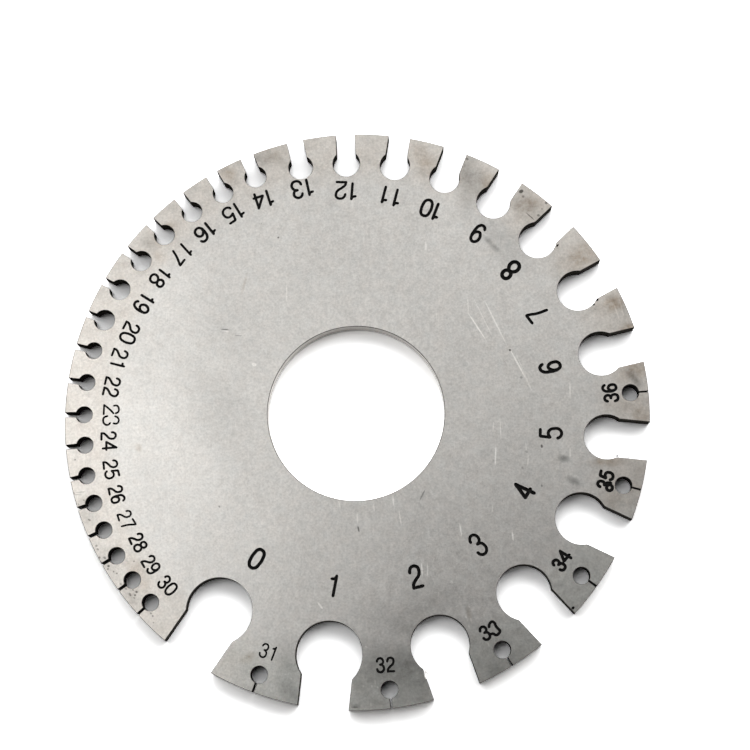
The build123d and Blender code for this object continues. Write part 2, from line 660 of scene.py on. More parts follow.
# Numbers 31 to 36 stand in the middle of the teeth between the seven widest slots. Their neck widths are in inches.
TOOTH_NECKS = (7 / 640, 13 / 1280, 3 / 320, 11 / 1280, 5 / 640, 9 / 1280)

# The ten digits as the engraver's single strokes, each a closed or open run of points about the digit's middle,
# for a digit one unit high.
DIGIT_STROKES = {
    0: (
        (True, ((-0.007, 0.5), (0.154, 0.432), (0.242, 0.187), (0.256, -0.137), (0.163, -0.428),
                (-0.031, -0.497), (-0.177, -0.39), (-0.25, -0.149), (-0.255, 0.152), (-0.164, 0.445))),
    ),
    1: (
        (False, ((0.113, 0.5), (0.048, -0.5))),
        (False, ((-0.113, 0.333), (0.011, 0.351), (0.074, 0.403), (0.106, 0.481))),
    ),
    2: (
        (False, ((-0.186, 0.253), (-0.14, 0.385), (0.002, 0.497), (0.214, 0.412), (0.245, 0.245),
                 (0.161, 0.022), (-0.032, -0.131), (-0.196, -0.295), (-0.241, -0.471))),
        (False, ((-0.249, -0.456), (0.184, -0.5))),
    ),
    3: (
        (False, ((-0.168, 0.291), (-0.121, 0.401), (0.006, 0.496), (0.174, 0.448), (0.237, 0.271),
                 (0.161, 0.087), (0.007, 0.04))),
        (False, ((0.005, 0.037), (0.148, -0.021), (0.216, -0.221), (0.149, -0.418), (-0.017, -0.5),
                 (-0.195, -0.41), (-0.237, -0.249))),
    ),
    4: (
        (False, ((0.153, 0.5), (-0.244, -0.201))),
        (False, ((-0.242, -0.2), (0.244, -0.244))),
        (False, ((0.142, 0.48), (0.139, -0.5))),
    ),
    5: (
        (False, ((0.103, 0.5), (-0.207, 0.476))),
        (False, ((-0.216, 0.459), (-0.225, 0.016))),
        (False, ((-0.224, 0.016), (-0.063, 0.116), (0.109, 0.066), (0.21, -0.135), (0.194, -0.376),
                 (0.005, -0.499), (-0.169, -0.429), (-0.227, -0.335))),
    ),
    6: (
        (False, ((0.224, 0.346), (0.169, 0.445), (0.05, 0.5), (-0.131, 0.399), (-0.219, 0.042),
                 (-0.21, -0.3))),
        (True, ((0.003, 0.09), (0.151, 0.013), (0.21, -0.204), (0.154, -0.423), (-0.01, -0.5),
                (-0.134, -0.443), (-0.191, -0.187), (-0.101, 0.011))),
    ),
    7: (
        (False, ((-0.235, 0.442), (0.23, 0.5))),
        (False, ((0.235, 0.471), (0.178, 0.302), (0.072, -0.01), (-0.001, -0.5))),
    ),
    8: (
        (True, ((-0.022, 0.5), (0.123, 0.448), (0.185, 0.293), (0.128, 0.131), (-0.008, 0.07),
                (-0.138, 0.12), (-0.204, 0.291), (-0.143, 0.451))),
        (True, ((0.021, 0.053), (0.163, -0.046), (0.227, -0.246), (0.168, -0.423), (-0.004, -0.5),
                (-0.167, -0.421), (-0.227, -0.244), (-0.175, -0.069))),
    ),
    9: (
        (True, ((0.001, 0.5), (0.157, 0.399), (0.198, 0.215), (0.136, 0.006), (-0.061, -0.091),
                (-0.143, -0.03), (-0.221, 0.215), (-0.141, 0.428))),
        (False, ((0.215, 0.224), (0.214, -0.085), (0.142, -0.389), (-0.001, -0.498),
                 (-0.151, -0.447), (-0.207, -0.355))),
    ),
}

# Number, reach from the centre, angle, stroke width, then each digit's x, y, width scale, height and slant
NUMERALS = tuple(
    Numeral(number, reach, angle, stroke, tuple(Digit(*digit) for digit in digits))
    for number, reach, angle, stroke, *digits in (
        (0, 25.11, 236.32, 0.52, (-0.04, -0.04, 2.87, 2.87)),
        (1, 24.76, 263.12, 0.47, (-0.15, -0.15, 2.84, 2.84)),
        (2, 25.10, 289.64, 0.51, (0.04, 0.13, 3.08, 3.08)),
        (3, 25.76, 312.25, 0.46, (-0.04, 0.08, 3.13, 3.13)),
        (4, 26.45, 334.47, 0.57, (-0.08, 0.02, 2.89, 2.89)),
        (5, 28.07, 353.75, 0.48, (0.00, 0.08, 3.07, 3.07)),
        (6, 28.63, 13.26, 0.52, (-0.09, -0.03, 2.93, 2.93)),
        (7, 29.94, 28.45, 0.46, (0.00, 0.03, 2.99, 2.99)),
        (8, 30.71, 42.97, 0.59, (0.02, -0.01, 3.03, 3.03)),
        (9, 31.98, 56.32, 0.49, (-0.04, 0.04, 2.84, 2.84)),
        (10, 32.20, 70.19, 0.48, (-0.96, 0.07, 2.40, 2.41, -0.04), (0.64, -0.01, 2.67, 2.53, 0.05)),
        (11, 32.74, 81.16, 0.43, (-0.96, 0.09, 2.61, 2.46, 0.03), (0.82, -0.12, 2.48, 2.42, 0.03)),
        (12, 33.28, 92.64, 0.42, (-1.09, 0.11, 2.70, 2.42, 0.05), (0.72, -0.14, 3.22, 2.58, 0.01)),
        (13, 34.59, 103.32, 0.43, (-1.04, 0.01, 2.62, 2.40, -0.06), (0.74, -0.03, 3.10, 2.60, -0.09)),
        (14, 34.94, 113.28, 0.42, (-1.03, 0.15, 2.31, 2.29, 0.03), (0.55, -0.04, 2.90, 2.27, 0.08)),
        (15, 35.05, 121.24, 0.40, (-1.04, 0.00, 2.47, 2.33, -0.07), (0.71, -0.03, 2.94, 2.38, 0.11)),
        (16, 35.10, 129.39, 0.43, (-1.03, 0.02, 2.22, 2.11, -0.05), (0.62, -0.03, 2.95, 2.24, -0.01)),
        (17, 35.06, 137.33, 0.38, (-1.20, 0.08, 1.86, 2.21, 0.04), (0.55, -0.02, 2.17, 2.30, 0.16)),
        (18, 35.17, 144.87, 0.40, (-1.05, 0.21, 1.68, 1.88, -0.01), (0.60, -0.07, 2.67, 2.22, 0.08)),
        (19, 35.12, 152.20, 0.42, (-1.02, 0.18, 1.55, 2.06, 0.04), (0.64, 0.00, 2.61, 2.28, 0.05)),
        (20, 35.03, 160.03, 0.39, (-0.87, -0.04, 2.55, 2.25, -0.05), (0.82, -0.05, 2.52, 2.20, 0.05)),
        (21, 35.33, 166.45, 0.36, (-0.65, -0.05, 2.41, 2.20, -0.09), (0.92, 0.02, 1.69, 2.00, -0.04)),
        (22, 35.54, 173.67, 0.36, (-0.91, 0.02, 2.42, 2.13, -0.07), (0.67, -0.05, 2.39, 2.15, -0.04)),
        (23, 35.39, 180.09, 0.30, (-0.81, 0.00, 2.35, 2.18, -0.09), (0.77, 0.03, 2.52, 2.15, -0.09)),
        (24, 35.74, 186.49, 0.35, (-0.89, 0.04, 2.19, 2.11, -0.06), (0.57, 0.06, 2.37, 1.99, 0.03)),
        (25, 36.05, 192.90, 0.34, (-0.74, 0.12, 2.28, 1.99, -0.06), (0.78, 0.11, 2.35, 1.95, 0.12)),
        (26, 36.15, 199.00, 0.35, (-0.79, 0.11, 2.02, 1.93, -0.03), (0.57, 0.07, 2.13, 1.86, 0.02)),
        (27, 36.05, 205.11, 0.30, (-0.74, 0.01, 2.00, 1.94, -0.06), (0.65, 0.01, 1.84, 1.94, 0.08)),
        (28, 36.00, 211.11, 0.36, (-0.76, 0.04, 2.01, 1.93, -0.04), (0.60, -0.01, 2.14, 1.81, 0.06)),
        (29, 36.20, 216.90, 0.35, (-0.72, 0.04, 1.98, 1.93, -0.04), (0.62, 0.00, 2.11, 1.87, 0.02)),
        (30, 36.20, 223.00, 0.35, (-0.81, -0.01, 2.11, 1.93, -0.09), (0.63, 0.03, 2.03, 1.84, 0.02)),
        (31, 36.01, 250.16, 0.28, (-0.58, -0.02, 2.01, 1.92, -0.07), (0.76, 0.01, 1.59, 1.85, -0.04)),
        (32, 35.93, 276.77, 0.36, (-0.79, 0.01, 2.13, 1.92, -0.05), (0.64, -0.08, 2.03, 1.90, -0.04)),
        (33, 36.21, 301.24, 0.42, (-0.85, 0.02, 2.18, 1.90, -0.06), (0.55, 0.02, 2.26, 1.82, -0.09)),
        (34, 35.98, 323.80, 0.47, (-0.82, -0.02, 2.05, 1.87, -0.11), (0.61, 0.08, 2.39, 1.81, -0.07)),
        (35, 36.83, 344.38, 0.49, (-0.76, -0.03, 2.07, 2.06, -0.05), (0.77, 0.07, 2.16, 1.84, 0.13)),
        (36, 36.52, 4.28, 0.45, (-0.82, -0.08, 2.15, 1.93, -0.11), (0.66, 0.06, 2.17, 1.91, -0.05)),
    )
)

# Digits that the tool cut badly, by the number and the digit's place in it: both digits of 23 have gaps, the
# second of 33 ran out of shape, and the first of 35 was gone over a second time.
ODD_DIGITS = {
    (23, 0): (
        (False, ((-0.178, 0.219), (-0.167, 0.426), (0.007, 0.544), (0.228, 0.521), (0.302, 0.35))),
        (False, ((0.289, 0.204), (0.032, -0.044), (-0.287, -0.427))),
        (False, ((-0.288, -0.435), (0.289, -0.441))),
    ),
    (23, 1): (
        (False, ((-0.229, -0.205), (-0.174, -0.421), (0.002, -0.491), (0.23, -0.365), (0.283, -0.154),
                 (0.187, -0.01))),
        (False, ((-0.179, 0.3), (-0.081, 0.484), (0.089, 0.561), (0.253, 0.44), (0.227, 0.213))),
    ),
    (33, 1): (
        (False, ((-0.182, 0.226), (-0.017, 0.424), (0.181, 0.453), (0.254, 0.263), (0.209, 0.035),
                 (0.215, -0.233), (0.228, -0.451), (0.059, -0.579), (-0.117, -0.57), (-0.219, -0.356),
                 (-0.385, -0.29))),
    ),
    (35, 0): (
        DIGIT_STROKES[3][0],
        (False, ((0.139, 0.003), (0.213, -0.167), (0.242, -0.362))),
        (True, ((-0.051, -0.539), (-0.202, -0.517), (-0.29, -0.396), (-0.262, -0.247), (-0.136, -0.156),
                (0.015, -0.178), (0.103, -0.299), (0.076, -0.448))),
    ),
}

# The marks of each kind, as rows of x, y, length, width, turn and strength
MARKS = {
    MarkKind.SCRATCH: (
        (20.16, 13.17, 9.35, 0.27, 115, 0.55), (23.31, 7.00, 5.92, 0.31, 117, 0.80),
        (24.77, 4.05, 2.20, 0.24, 113, 0.40), (16.23, 15.79, 2.66, 0.24, 93, 0.35),
        (17.49, 12.58, 5.75, 0.27, 122, 0.80), (30.69, 3.14, 2.90, 0.27, 90, 0.60),
        (19.65, -2.04, 1.72, 0.24, 85, 0.40), (20.66, -2.40, 3.89, 0.24, 92, 0.45),
        (19.90, -6.37, 3.43, 0.29, 87, 0.90), (24.25, -5.10, 2.00, 0.24, 93, 0.40),
        (24.50, -7.05, 2.14, 0.24, 85, 0.35), (30.49, -6.07, 1.85, 0.29, 89, 0.50),
        (14.83, -16.85, 2.13, 0.29, 99, 0.80), (22.16, -17.80, 1.69, 0.31, 97, 1.00),
        (19.37, -13.82, 1.41, 0.29, 84, 0.50), (9.35, -22.47, 2.38, 0.31, 95, 0.90),
        (10.13, -22.47, 2.37, 0.27, 90, 0.65), (-4.97, -27.47, 1.54, 0.34, 128, 0.80),
        (5.34, -12.69, 1.84, 0.31, 95, 0.60), (6.29, -15.19, 2.57, 0.27, 99, 0.50),
        (0.24, -15.23, 1.83, 0.29, 92, 0.50), (10.19, 24.79, 1.94, 0.27, 91, 0.40),
        (-10.14, 17.72, 3.13, 0.24, 91, 0.40), (-14.76, 7.17, 0.91, 0.63, 158, 0.60),
        (-18.97, 12.14, 1.29, 0.24, 176, 0.50), (13.48, -24.24, 0.62, 0.44, 123, 0.60),
        (-2.30, -13.23, 1.30, 0.29, 104, 0.40), (2.60, -13.75, 1.41, 0.29, 96, 0.40),
        (38.38, 15.25, 3.49, 0.29, 103, 0.50), (37.64, 14.66, 3.57, 0.24, 108, 0.40),
        (18.30, 14.07, 8.05, 0.19, 115, 0.40), (24.22, 5.60, 7.43, 0.19, 112, 0.40),
        (2.77, -38.09, 0.76, 0.27, 98, 0.55), (1.13, -38.62, 0.41, 0.36, 107, 0.55),
        (2.31, -38.65, 0.42, 0.36, 112, 0.55), (3.09, -38.74, 0.39, 0.31, 114, 0.45),
        (5.08, -37.73, 0.38, 0.27, 109, 0.45), (2.17, -41.17, 0.59, 0.34, 97, 0.40),
        (1.48, -33.20, 0.34, 0.29, 130, 0.45), (15.90, -27.66, 0.43, 0.27, 116, 0.45),
        (16.16, -29.51, 0.77, 0.27, 102, 0.50), (15.48, -29.12, 0.39, 0.27, 114, 0.45),
        (15.87, -30.44, 0.69, 0.27, 104, 0.45), (18.54, -32.93, 0.75, 0.27, 118, 0.45),
        (-11.74, -39.16, 0.67, 0.27, 97, 0.45), (-9.76, -36.99, 0.36, 0.29, 136, 0.45),
        (-8.91, -37.65, 0.36, 0.29, 136, 0.40), (25.60, -32.65, 0.62, 0.19, 135, 0.80),
    ),
    MarkKind.SCORE: (
        (-19.05, 12.40, 1.58, 0.22, 175, 0.60), (-17.07, 11.47, 1.43, 0.20, 178, 0.35),
        (0.40, -16.73, 1.14, 0.30, 103, 0.70), (9.47, -11.92, 2.21, 0.30, 63, 0.45),
        (25.48, 29.07, 2.16, 0.22, 137, 0.60), (26.49, -5.00, 0.61, 0.40, 96, 0.75),
        (22.19, 9.05, 0.46, 0.40, 120, 0.80), (-11.45, 26.20, 0.34, 0.36, 145, 0.70),
        (23.76, 5.01, 0.49, 0.44, 127, 0.40), (23.73, -8.12, 0.60, 0.40, 117, 0.35),
        (24.31, -5.78, 0.56, 0.40, 129, 0.30), (26.39, -10.67, 0.47, 0.32, 103, 0.50),
        # these two, along the bottom rim, are painted shade of the rim's edge
        (-0.10, -41.50, 1.23, 0.24, 179, 0.45), (-8.37, -41.11, 1.11, 0.20, 169, 0.30),
        (-40.27, -11.45, 0.48, 0.36, 145, 0.45), (-38.82, -12.48, 0.52, 0.32, 144, 0.45),
        (-37.92, -15.29, 0.60, 0.36, 143, 0.50), (-36.58, -19.48, 0.51, 0.36, 145, 0.50),
        (-35.55, -20.69, 0.61, 0.40, 141, 0.55), (-31.81, -25.83, 0.57, 0.40, 136, 0.50),
        (-32.44, -25.03, 0.53, 0.34, 136, 0.50), (-19.41, -13.47, 0.45, 0.32, 135, 0.45),
        (-36.05, -21.29, 0.47, 0.28, 121, 0.40), (-33.16, -24.39, 0.52, 0.32, 159, 0.40),
        (-31.20, -26.35, 0.42, 0.28, 132, 0.40), (-39.56, -13.08, 0.46, 0.28, 122, 0.40),
        (24.21, 32.91, 0.88, 0.68, 26, 0.80), (24.48, 32.11, 0.45, 0.48, 152, 0.45),
        (27.85, 31.10, 0.50, 0.56, 23, 0.65), (26.68, 29.20, 0.47, 0.52, 31, 0.55),
        (27.21, 30.19, 0.34, 0.40, 23, 0.40), (16.35, 37.98, 0.47, 0.64, 53, 0.55),
        (-34.98, -21.86, 0.45, 0.44, 136, 0.75), (-35.05, -22.27, 0.35, 0.36, 141, 0.65),
        (-36.30, -20.64, 0.37, 0.36, 136, 0.70), (-36.80, -18.98, 0.41, 0.48, 136, 0.50),
        (-33.76, -22.90, 0.34, 0.32, 141, 0.55), (-34.23, -22.64, 0.32, 0.32, 136, 0.50),
        (-30.89, -25.52, 0.45, 0.40, 129, 0.70), (-31.09, -25.97, 0.38, 0.36, 132, 0.65),
        (-31.74, -25.97, 0.38, 0.36, 132, 0.60), (-31.39, -25.23, 0.36, 0.32, 136, 0.55),
        (-28.78, -28.52, 0.38, 0.32, 132, 0.55), (-28.50, -28.90, 0.34, 0.32, 131, 0.55),
        (-28.37, -29.81, 0.32, 0.28, 136, 0.45), (-40.26, -6.61, 0.40, 0.36, 24, 0.50),
        (-31.38, -21.21, 0.32, 0.32, 136, 0.50), (-39.33, -11.31, 1.84, 0.22, 5, 0.32),
        (-39.82, -11.65, 1.70, 0.22, 5, 0.28),
    ),
    MarkKind.SMUDGE: (
        # the long wide ones low on the face and the two widest on the left are painted shade; the rest are grey smears
        (38.65, 14.51, 6.81, 1.07, 100, 0.30), (19.39, 25.39, 3.46, 1.57, 133, 0.50),
        (20.25, 24.40, 3.50, 1.72, 137, 0.50), (19.87, 28.12, 2.72, 1.57, 112, 0.30),
        (16.38, 36.74, 4.82, 2.19, 93, 0.40), (16.48, 32.05, 10.26, 5.01, 83, 0.28),
        (29.61, -6.78, 2.57, 1.57, 171, 0.65), (30.89, -9.94, 3.45, 1.57, 153, 0.60),
        (-30.40, 25.30, 4.67, 3.13, 127, 0.28), (39.30, 14.65, 11.18, 6.27, 41, 0.20),
        (39.94, 4.76, 5.06, 2.19, 125, 0.65), (-14.23, 38.38, 9.17, 4.39, 7, 0.30),
        (1.00, -38.12, 10.80, 6.89, 135, 0.35), (-9.15, -39.21, 9.02, 5.64, 126, 0.45),
        (19.75, -36.84, 7.19, 4.39, 133, 0.35), (-38.36, -14.51, 8.18, 3.76, 115, 0.22),
        (-35.28, -21.35, 7.12, 3.76, 122, 0.22), (-31.59, -26.15, 7.61, 3.76, 133, 0.22),
        (6.28, -36.21, 31.60, 12.12, 180, 0.55), (9.78, -30.84, 24.82, 9.17, 169, 0.34),
        (16.43, 35.44, 15.74, 7.21, 115, 0.48), (5.23, -40.32, 18.26, 5.08, 2, 0.26),
        (-12.63, -40.17, 14.22, 5.08, 168, 0.24), (-19.88, 1.20, 26.29, 14.74, 117, 0.17),
        (24.66, 31.05, 11.69, 5.57, 139, 0.24), (20.20, -34.10, 13.70, 7.21, 148, 0.24),
        (-13.58, -36.80, 17.55, 7.21, 152, 0.14), (2.67, -40.79, 8.94, 2.82, 4, 0.30),
        (-9.18, -36.12, 13.12, 6.89, 96, 0.32), (0.18, -41.37, 2.23, 1.10, 170, 0.50),
        (21.35, 25.61, 17.60, 8.15, 132, 0.22), (-18.61, 11.52, 25.87, 14.74, 110, 0.13),
        (2.11, -33.73, 16.67, 8.19, 9, 0.26), (9.82, -27.79, 16.97, 9.83, 11, 0.22),
    ),
    MarkKind.TARNISH: (
        (-28.96, 23.62, 4.22, 2.82, 139, 0.26), (40.12, 6.08, 8.30, 5.01, 15, 0.42),
        (40.77, -0.49, 5.98, 3.76, 128, 0.42), (38.27, 1.27, 9.23, 4.39, 180, 0.17),
        (35.48, -7.24, 7.02, 2.19, 3, 0.51), (36.60, -12.61, 10.45, 5.01, 20, 0.17),
        (37.25, 15.85, 6.83, 4.07, 18, 0.55), (39.15, 12.12, 4.39, 2.82, 22, 0.51),
        (32.80, 22.93, 8.84, 5.64, 34, 0.47), (25.25, 30.89, 7.95, 4.39, 9, 0.38),
        (19.65, 33.71, 6.92, 3.76, 103, 0.51), (10.34, 37.35, 10.01, 5.01, 126, 0.38),
        (-28.23, 26.81, 7.55, 4.07, 61, 0.42), (-18.95, 36.10, 6.05, 4.07, 128, 0.34),
        (-12.61, 38.98, 7.05, 4.07, 155, 0.26), (-30.75, -23.20, 8.55, 3.76, 118, 0.30),
        (15.89, -28.70, 3.71, 1.25, 106, 0.30), (15.22, -32.57, 5.33, 1.57, 98, 0.26),
        (-15.00, -34.74, 3.31, 1.88, 29, 0.42), (26.50, 30.75, 19.92, 8.15, 65, 0.15),
        (-16.32, 19.28, 5.04, 0.69, 75, 0.26), (33.06, 21.42, 13.06, 6.27, 10, 0.26),
        (33.80, -17.41, 6.90, 3.13, 110, 0.26), (25.43, -25.87, 7.12, 4.39, 149, 0.26),
        (-31.19, -4.89, 2.22, 1.57, 118, 0.30),
    ),
}


class OutlinePen:
    """Draws one flat outline in a mesh, a straight side or an arc at a time."""

    def __init__(self, mesh: Mesh, start: Vector) -> None:
        """Puts the pen down.

        Args:
            mesh: the mesh that it draws in.
            start: the outline's first point.
        """
        self.mesh = mesh
        self.first = mesh.verts.new(start)
        self.tip = self.first

    def line_to(self, point: Vector) -> None:
        """Draws a straight side.

        Args:
            point: the side's far end.
        """
        drawn = bmesh.ops.extrude_vert_indiv(self.mesh, verts=[self.tip])
        self.tip = drawn["verts"][0]
        self.tip.co = point

    def arc(self, centre: Vector, angle: float, step: float) -> None:
        """Draws an arc.

        Args:
            centre: the arc's centre.
            angle: how far it turns, in radians, anticlockwise where it is positive.
            step: the longest turn of one side, in radians.
        """
        steps = max(1, math.ceil(abs(angle) / step))
        drawn = bmesh.ops.spin(
            self.mesh, geom=[self.tip], cent=centre, axis=(0, 0, 1), angle=angle, steps=steps, use_merge=False
        )
        self.tip = drawn["geom_last"][0]

    def close(self) -> None:
        """Joins the pen's last point to its first."""
        bmesh.ops.weld_verts(self.mesh, targetmap={self.tip: self.first})


@dataclass
class Plate:
    """The steel disc with its hand hole and its 37 slots."""

    # a hair under the part's 84, so that no point passes the flats of the part's own faceted rim
    diameter: float = 83.978
    thickness: float = THICKNESS
    hand_hole: float = 1.0 * INCH
    edge_break: float = 0.10
    slot_edge_break: float = 0.05
    corner_radius: float = 0.3
    tooth_relief: float = 2.4
    tooth_inset: float = 2.6
    # necks narrower than this, and all within this share of a tooth slot's relief diameter, get dark painted shade
    caked_neck: float = 0.50
    caked_share: float = 0.6
    # the longest turn of one side of the outline, in degrees, on the rim, a relief hole and a rounded corner
    rim_step: float = 0.8
    relief_step: float = 5.0
    corner_step: float = 18.0
    hand_hole_sides: int = 200
    # keeps the two faces that much inside the part's own
    clearance: float = 0.0005
    # a face is flat where its normal's upright share is over this
    flat_from: float = 0.9
    # a point is on a turned edge within this many slot edge breaks of the rim or the hand hole
    turned_within: float = 1.3

    @property
    def radius(self) -> float:
        """Half of the disc's diameter."""
        return self.diameter / 2

    def half_angle(self, slot: Slot) -> float:
        """Half of the angle that a neck takes out of the rim, in radians."""
        return math.asin(slot.neck_width / 2 / self.radius)

    def all_slots(self) -> list[tuple[Slot, bool]]:
        """Every slot in turn round the rim.

        Returns:
            Each slot, and whether its inner corners are rounded.
        """
        found = [(slot, True) for slot in WIDE_SLOTS] + [(slot, False) for slot in NARROW_SLOTS]
        numbered = enumerate(TOOTH_NECKS, NARROW_SLOTS[-1].number + 1)
        for (number, width), before, after in zip(numbered, WIDE_SLOTS, WIDE_SLOTS[1:]):
            start = before.angle + math.degrees(self.half_angle(before))
            end = after.angle - math.degrees(self.half_angle(after))
            middle = (start + end) / 2
            found.append((Slot(number, width * INCH, self.tooth_relief, self.tooth_inset, middle), False))
        return sorted(found, key=lambda pair: pair[0].angle)

    def draw_slot(self, pen: OutlinePen, slot: Slot, rounded: bool) -> None:
        """Draws one keyhole, from the rim down one neck wall, round the relief hole and back to the rim.

        Args:
            pen: the pen, standing on the rim at the neck's clockwise wall.
            slot: the slot to draw.
            rounded: whether the corners between neck and relief hole are rounded.
        """
        turn = Matrix.Rotation(math.radians(slot.angle), 4, "Z")
        half = slot.neck_width / 2
        relief = slot.relief_diameter / 2
        reach = self.radius - slot.relief_inset
        rim = math.sqrt(self.radius**2 - half**2)
        corner = min(self.corner_radius, (relief - half) / 2) if rounded else 0.0
        out = math.sqrt((relief + corner) ** 2 - (half + corner) ** 2)
        opening = math.atan2(half + corner, out)
        bend = math.pi / 2 - opening
        pen.line_to(turn @ Vector((reach + out, -half, 0)))
        if rounded:
            pen.arc(turn @ Vector((reach + out, -half - corner, 0)), bend, math.radians(self.corner_step))
        pen.arc(turn @ Vector((reach, 0, 0)), -2 * (math.pi - opening), math.radians(self.relief_step))
        if rounded:
            pen.arc(turn @ Vector((reach + out, half + corner, 0)), bend, math.radians(self.corner_step))
        pen.line_to(turn @ Vector((rim, half, 0)))

    def dressing(self, face: bmesh.types.BMFace) -> Dressing:
        """The finish of a face before the edges are broken.

        Args:
            face: the face.

        Returns:
            Ground where it is flat, turned on the rim, bored in the hand hole, milled in the slots, and dark painted
            shade in the finest slots.
        """
        if abs(face.normal.z) > self.flat_from:
            return Dressing.FACE
        place = face.calc_center_median()
        reach = place.to_2d().length
        if abs(reach - self.radius) < self.slot_edge_break:
            return Dressing.TURNED
        if abs(reach - self.hand_hole / 2) < self.slot_edge_break:
            return Dressing.BORED
        # walls in the finest slots get near-black painted shade
        return Dressing.CAKED if self.is_caked(place) else Dressing.WALL

    def is_caked(self, place: Vector) -> bool:
        """Whether a place is painted near black as shade: in the finest necks, and all round the slots in the teeth.

        Args:
            place: the place.

        Returns:
            Whether it is.
        """
        for slot, _ in self.all_slots():
            here = Matrix.Rotation(-math.radians(slot.angle), 4, "Z") @ place
            out = here.x - self.radius + slot.relief_inset
            if slot.neck_width < self.caked_neck and out > 0 and abs(here.y) < slot.neck_width:
                return True
            in_tooth = slot.number > NARROW_SLOTS[-1].number
            if in_tooth and math.hypot(out, here.y) < self.tooth_relief * self.caked_share:
                return True
        return False

    def body(self) -> Mesh:
        """Builds the disc in millimetres, its back on z = 0.

        Returns:
            The closed mesh, with its faces given their finishes.
        """
        mesh = bmesh.new()
        self.draw_outlines(mesh)
        bmesh.ops.triangle_fill(mesh, use_beauty=True, edges=mesh.edges[:], normal=(0, 0, 1))
        grown = bmesh.ops.extrude_face_region(mesh, geom=mesh.faces[:])
        raised = [part for part in grown["geom"] if isinstance(part, bmesh.types.BMVert)]
        bmesh.ops.translate(mesh, verts=raised, vec=(0, 0, self.thickness - 2 * self.slot_edge_break))
        bmesh.ops.translate(mesh, verts=mesh.verts[:], vec=(0, 0, self.slot_edge_break))
        bmesh.ops.recalc_face_normals(mesh, faces=mesh.faces[:])
        for face in mesh.faces:
            face.material_index = self.dressing(face).value
        self.break_edges(mesh)
        self.widen_turned_edges(mesh)
        return mesh

    def draw_outlines(self, mesh: Mesh) -> None:
        """Draws the disc's outline, slot after slot, and the hand hole's.

        Args:
            mesh: the mesh that they go into.
        """
        slots = self.all_slots()
        first = slots[0][0]
        start_angle = math.radians(first.angle) - self.half_angle(first)
        pen = OutlinePen(mesh, Matrix.Rotation(start_angle, 4, "Z") @ Vector((self.radius, 0, 0)))
        for (slot, rounded), (after, _) in zip(slots, slots[1:] + slots[:1]):
            self.draw_slot(pen, slot, rounded)
            here = math.radians(slot.angle) + self.half_angle(slot)
            there = math.radians(after.angle) - self.half_angle(after)
            pen.arc(Vector((0, 0, 0)), (there - here) % math.tau, math.radians(self.rim_step))
        pen.close()
        bmesh.ops.create_circle(mesh, cap_ends=False, radius=self.hand_hole / 2, segments=self.hand_hole_sides)

    def break_edges(self, mesh: Mesh) -> None:
        """Breaks all the edges of both faces alike. A slot's broken edge keeps the finish of its wall.

        Args:
            mesh: the disc with sharp edges.
        """
        for side in (1, -1):
            flat = [face for face in mesh.faces if face.normal.z * side > self.flat_from]
            ring = bmesh.ops.inset_region(
                mesh,
                faces=flat,
                thickness=self.slot_edge_break,
                depth=self.slot_edge_break - self.clearance,
                use_boundary=True,
                use_even_offset=True,
            )
            for face in ring["faces"]:
                turned = self.dressing(face) in (Dressing.TURNED, Dressing.BORED)
                face.material_index = (Dressing.EDGE if turned else Dressing.WALL).value

    def widen_turned_edges(self, mesh: Mesh) -> None:
        """Breaks the edges of the rim and of the hand hole further than those of the slots.

        Args:
            mesh: the disc, with all of its edges broken alike.
        """
        near = self.slot_edge_break * self.turned_within
        more = self.edge_break - self.slot_edge_break
        for vert in mesh.verts:
            reach = vert.co.to_2d().length
            if reach > self.radius - near:
                inward = -1
            elif reach < self.hand_hole / 2 + near:
                inward = 1
            else:
                continue
            above = vert.co.z - self.thickness / 2
            if abs(above) > self.thickness / 2 - self.slot_edge_break / 2:
                vert.co.x, vert.co.y = vert.co.to_2d() * (1 + inward * more / reach)
            else:
                vert.co.z -= math.copysign(more, above)


